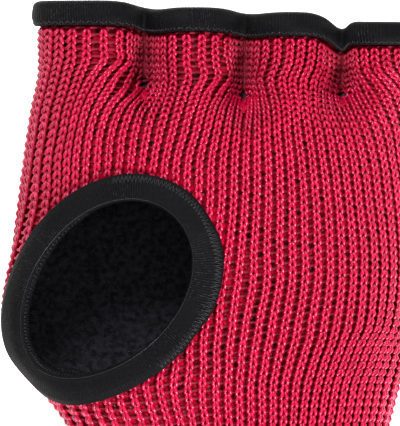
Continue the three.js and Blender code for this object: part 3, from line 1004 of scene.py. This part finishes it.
def fold_stitches(material):
    """The same seam on the thumb side, where it comes round the fold."""
    steps, swing, sunk = zigzag(THUMB_ZIGZAGS)
    angles = mix(*FOLD_SEAM, steps / THUMB_ZIGZAGS)
    bend = mix(*FOLD_SEAM_BENDS, swing)
    reach = THREAD_RADIUS * THREAD_LIFT - SEAM_SINKS * sunk
    half = (PRESSED_WALL + 2 * THUMB_TAPE["gap"] + 2 * TAPE) / 2 + reach
    distance = -(FOLD_REACH + TAPE / 2 + reach) * np.sin(bend) ** THUMB_FOLD_POWER
    depth = PRESSED_WALL / 2 - half * signed_power(np.cos(bend), THUMB_FOLD_POWER)
    points, _ = thumb_line(angles, distance, depth)
    _, _, away = rim_places(angles)
    thread_piece("thumb_seam_fold", points, -away, False, material)


def thumb_rim(material):
    """The thin rolled edge along the inner side of the thumb hole's tape."""
    angles = angles_round(RIM_PLACES)
    face = -THUMB_TAPE["gap"] - TAPE
    distance = np.full(angles.shape, -RIM_REACH)
    points, normals = thumb_line(angles, distance, np.full(angles.shape, face + RIM_SINKS))
    thread_piece("thumb_rim", points, normals, True, material, radius=RIM_RADIUS)


class Look:
    """A material, with short ways to build its nodes.

    Inputs are given by name or number, as values or as the sockets to link from.
    """

    def __init__(self, name, colour, roughness, specular=0.5):
        self.material = bpy.data.materials.new(name)
        self.material.use_nodes = True
        self.tree = self.material.node_tree
        self.surface({
            "Base Color": (*colour, 1), "Roughness": roughness, "Specular IOR Level": specular,
        })

    def surface(self, inputs):
        self.fill(self.tree.nodes["Principled BSDF"], inputs)

    def fill(self, node, inputs):
        for key, value in inputs.items():
            if isinstance(value, bpy.types.NodeSocket):
                self.tree.links.new(value, node.inputs[key])
            else:
                node.inputs[key].default_value = value

    def add(self, kind, inputs=(), **settings):
        node = self.tree.nodes.new(kind)
        for key, value in settings.items():
            setattr(node, key, value)
        self.fill(node, dict(inputs))
        return node

    def ramp(self, factor, stops):
        """A colour for each value of factor. stops are (place, colour) from the lowest up."""
        node = self.add("ShaderNodeValToRGB", {"Fac": factor})
        elements = node.color_ramp.elements
        for element, (position, colour) in zip(elements, (stops[0], stops[-1])):
            element.position = position
            element.color = (*colour, 1)
        for position, colour in stops[1:-1]:
            elements.new(position).color = (*colour, 1)
        return node.outputs["Color"]

    def noise(self, scale, detail=2.0):
        """Noise in the piece's own space."""
        place = self.add("ShaderNodeTexCoord").outputs["Object"]
        inputs = {"Vector": place, "Scale": scale, "Detail": detail}
        return self.add("ShaderNodeTexNoise", inputs).outputs["Fac"]

    def seam_place(self):
        """Sockets for the millimetres along a strand or tape, and the place round or across it."""
        place = self.add("ShaderNodeTexCoord").outputs["UV"]
        parts = self.add("ShaderNodeSeparateXYZ", {"Vector": place})
        return parts.outputs["X"], parts.outputs["Y"]

    def calculate(self, operation, *values):
        return self.add("ShaderNodeMath", enumerate(values), operation=operation).outputs[0]

    def blend(self, kind, factor, a, b):
        """Two colours blended."""
        inputs = {"Factor": factor, "A": a, "B": b}
        return self.add("ShaderNodeMix", inputs, data_type="RGBA", blend_type=kind).outputs["Result"]

    def scaled(self, value, limits):
        return self.add("ShaderNodeMapRange", {"Value": value, **limits}).outputs["Result"]

    def bump(self, height, strength, distance):
        """The normal of a surface with relief, up to a distance in metres."""
        inputs = {"Strength": strength, "Distance": distance, "Height": height}
        return self.add("ShaderNodeBump", inputs).outputs["Normal"]


def yarn_material():
    """Glossy dyed yarn of two twisted plies, uneven in tone, painted darker as shade and rougher where it
    is buried.
    """
    look = Look("red_yarn", (0.45, 0.003, 0.035), 0.40, 0.62)
    buried_shade = look.add("ShaderNodeAttribute", attribute_name="buried_shade").outputs["Fac"]
    tones = [(0.3, (0.28, 0.0008, 0.015)), (0.5, (0.41, 0.001, 0.029)), (0.72, (0.58, 0.005, 0.058))]
    # Painted shade: the more buried the yarn, the darker this ramp paints it.
    painted_shades = [(0.0, (1, 1, 1)), (0.4, (0.75, 0.65, 0.65)), (1.0, (0.32, 0.06, 0.10))]
    tone = look.ramp(look.noise(900.0, 3.0), tones)
    plies = 2
    along, across = look.seam_place()
    twist = look.calculate("MULTIPLY_ADD", along, 1.1, across)
    ply = look.calculate("SINE", look.calculate("MULTIPLY", twist, 2 * math.pi * plies))
    look.surface({
        "Base Color": look.blend("MULTIPLY", 1.0, tone, look.ramp(buried_shade, painted_shades)),
        "Specular Tint": (1.0, 0.52, 0.76, 1),
        "Roughness": look.scaled(buried_shade, {"To Min": 0.28, "To Max": 0.8}),
        "Normal": look.bump(ply, 0.12, 0.00007),
    })
    return look.material


def backing_material():
    """The matt back yarn: dark red as painted shade, with black lining and a few grey fibres coming through
    it.
    """
    look = Look("back_yarn_painted_shade", (0.10, 0.001, 0.008), 0.9, 0.05)
    clumps = look.noise(620.0, 3.0)
    # Painted shade: the back yarn is coloured far darker than the same yarn in front.
    tones = [(0.36, (0.02, 0.001, 0.002)), (0.47, (0.15, 0.0004, 0.006)), (0.67, (0.38, 0.0008, 0.017))]
    fibres = look.ramp(look.noise(1700.0, 1.0), [(0.66, (0, 0, 0)), (0.76, (1, 1, 1))])
    look.surface({
        "Base Color": look.blend("MIX", fibres, look.ramp(clumps, tones), (0.10, 0.07, 0.07, 1)),
        "Normal": look.bump(clumps, 0.6, 0.0004),
    })
    return look.material


def thread_material():
    """Twisted black sewing thread with a slight shine."""
    look = Look("black_thread", (0.03, 0.027, 0.032), 0.4, 0.35)
    tones = [(0.3, (0.002, 0.002, 0.003)), (0.7, (0.017, 0.015, 0.018))]
    look.surface({"Base Color": look.ramp(look.noise(2500.0, 1.0), tones)})
    return look.material


def fleece_material():
    """Brushed black lining, clumped and matt."""
    look = Look("black_fleece", (0.010, 0.010, 0.013), 0.95, 0.15)
    clumps = look.noise(700.0, 5.0)
    tones = [(0.38, (0.010, 0.010, 0.012)), (0.66, (0.038, 0.035, 0.044))]
    look.surface({"Base Color": look.ramp(clumps, tones), "Normal": look.bump(clumps, 0.9, 0.0006)})
    return look.material


def pile_material():
    """The loose fibres of the lining, some of them greyer than others."""
    look = Look("fleece_fibre", (0.03, 0.028, 0.034), 0.8, 0.2)
    tones = [(0.4, (0.02, 0.02, 0.023)), (0.65, (0.16, 0.15, 0.175))]
    look.surface({"Base Color": look.ramp(look.noise(1200.0), tones)})
    return look.material


def tape_material():
    """Woven elastic: ribs across the tape that fade out in places, with painted shade in their grooves."""
    look = Look("black_elastic", (0.003, 0.003, 0.0035), 0.62, 0.07)
    rib_pitch = 0.62
    along, _ = look.seam_place()
    drifting = look.calculate("MULTIPLY_ADD", look.noise(300.0), 0.35, along)
    ribs = look.calculate("SINE", look.calculate("MULTIPLY", drifting, 2 * math.pi / rib_pitch))
    clear = look.scaled(look.noise(90.0), {"From Min": 0.36, "From Max": 0.60})
    faded = look.calculate("MULTIPLY", ribs, clear)
    height = look.calculate("MULTIPLY_ADD", look.noise(1500.0), 3.0, faded)
    # Painted shade: the colour follows the relief, darkest in the grooves.
    tones = [(0.1, (0.0008, 0.0008, 0.0010)), (0.85, (0.0045, 0.0042, 0.0051)), (1.0, (0.03, 0.029, 0.032))]
    look.surface({
        "Base Color": look.ramp(look.scaled(height, {"From Max": 3.0}), tones),
        "Normal": look.bump(height, 0.6, 0.00012),
    })
    return look.material


def floor():
    """A pale floor just under the glove. It glows a little, so that it stays white."""
    look = Look("pale_floor", (0.93, 0.93, 0.93), 0.9)
    look.surface({"Emission Color": (1, 1, 1, 1), "Emission Strength": 0.7})
    half = 3.0
    under_glove = 0.0002
    corners = [(-half, -half, 0), (half, -half, 0), (half, half, 0), (-half, half, 0)]
    mesh = bpy.data.meshes.new("floor")
    mesh.from_pydata(corners, [], [(0, 1, 2, 3)])
    mesh.materials.append(look.material)
    plane = bpy.data.objects.new("floor", mesh)
    plane.location.z = -under_glove
    bpy.context.scene.collection.objects.link(plane)


def area_light(name, place, size, power):
    """A round lamp that shines on the middle of the glove."""
    target = (0, 0, 0.02)
    data = bpy.data.lights.new(name, "AREA")
    data.shape = "DISK"
    data.size = size
    data.energy = power
    lamp = bpy.data.objects.new(name, data)
    lamp.location = place
    from_to = np.array(target) - np.array(place)
    lamp.rotation_mode = "QUATERNION"
    lamp.rotation_quaternion = Vector(from_to).to_track_quat("-Z", "Y")
    bpy.context.scene.collection.objects.link(lamp)


def lights():
    """Soft daylight, with a small lamp that makes the yarn glint and a wide one from the fingers' side."""
    world = bpy.data.worlds.new("soft_daylight")
    bpy.context.scene.world = world
    world.use_nodes = True
    sky = world.node_tree.nodes["Background"]
    sky.inputs["Color"].default_value = (1.0, 1.0, 1.0, 1)
    sky.inputs["Strength"].default_value = 0.58
    area_light("key", (0.24, -0.50, 0.42), size=0.12, power=8.5)
    area_light("fill", (-0.17, 0.44, 0.44), size=0.25, power=3.7)


def camera():
    """Straight above the palm, so far back that the picture shows sizes evenly."""
    centre_x = (PICTURE_WIDTH / 2 - ORIGIN_PIXEL_X) / PIXELS_PER_MM * MM
    centre_y = (ORIGIN_PIXEL_Y - PICTURE_HEIGHT / 2) / PIXELS_PER_MM * MM
    picture = PICTURE_HEIGHT / PIXELS_PER_MM * MM
    data = bpy.data.cameras.new("camera")
    data.sensor_width = 36
    data.lens = data.sensor_width * CAMERA_DISTANCE / picture
    data.clip_start = 0.1
    data.clip_end = 20
    seen_from = bpy.data.objects.new("camera", data)
    seen_from.location = (centre_x, centre_y, TRUE_HEIGHT * MM + CAMERA_DISTANCE)
    bpy.context.scene.collection.objects.link(seen_from)
    bpy.context.scene.camera = seen_from


def main():
    bpy.context.scene.view_settings.view_transform = "Standard"
    camera()
    floor()
    lights()
    knit = Knit()
    red = yarn_material()
    fleece = fleece_material()
    tape = tape_material()
    knit_pieces(knit, red)
    web_seams(red)
    backing_piece(knit, backing_material())
    lining_piece(knit, fleece)
    pile_piece(pile_material())
    end_tape(knit, "finger_tape", "finger_binding", FINGER_EDGE, -1, FINGER_TAPE_PLACES, tape)
    end_tape(knit, "wrist_tape", "wrist_binding", WRIST_EDGE, 1, WRIST_TAPE_PLACES, tape)
    thumb_tape(tape)
    thread = thread_material()
    end_stitches(knit, "finger_seam", FINGER_EDGE, -1, thread)
    end_stitches(knit, "wrist_seam", WRIST_EDGE, 1, thread)
    palm_stitches(thread)
    fold_stitches(thread)
    thumb_rim(thread)


main()
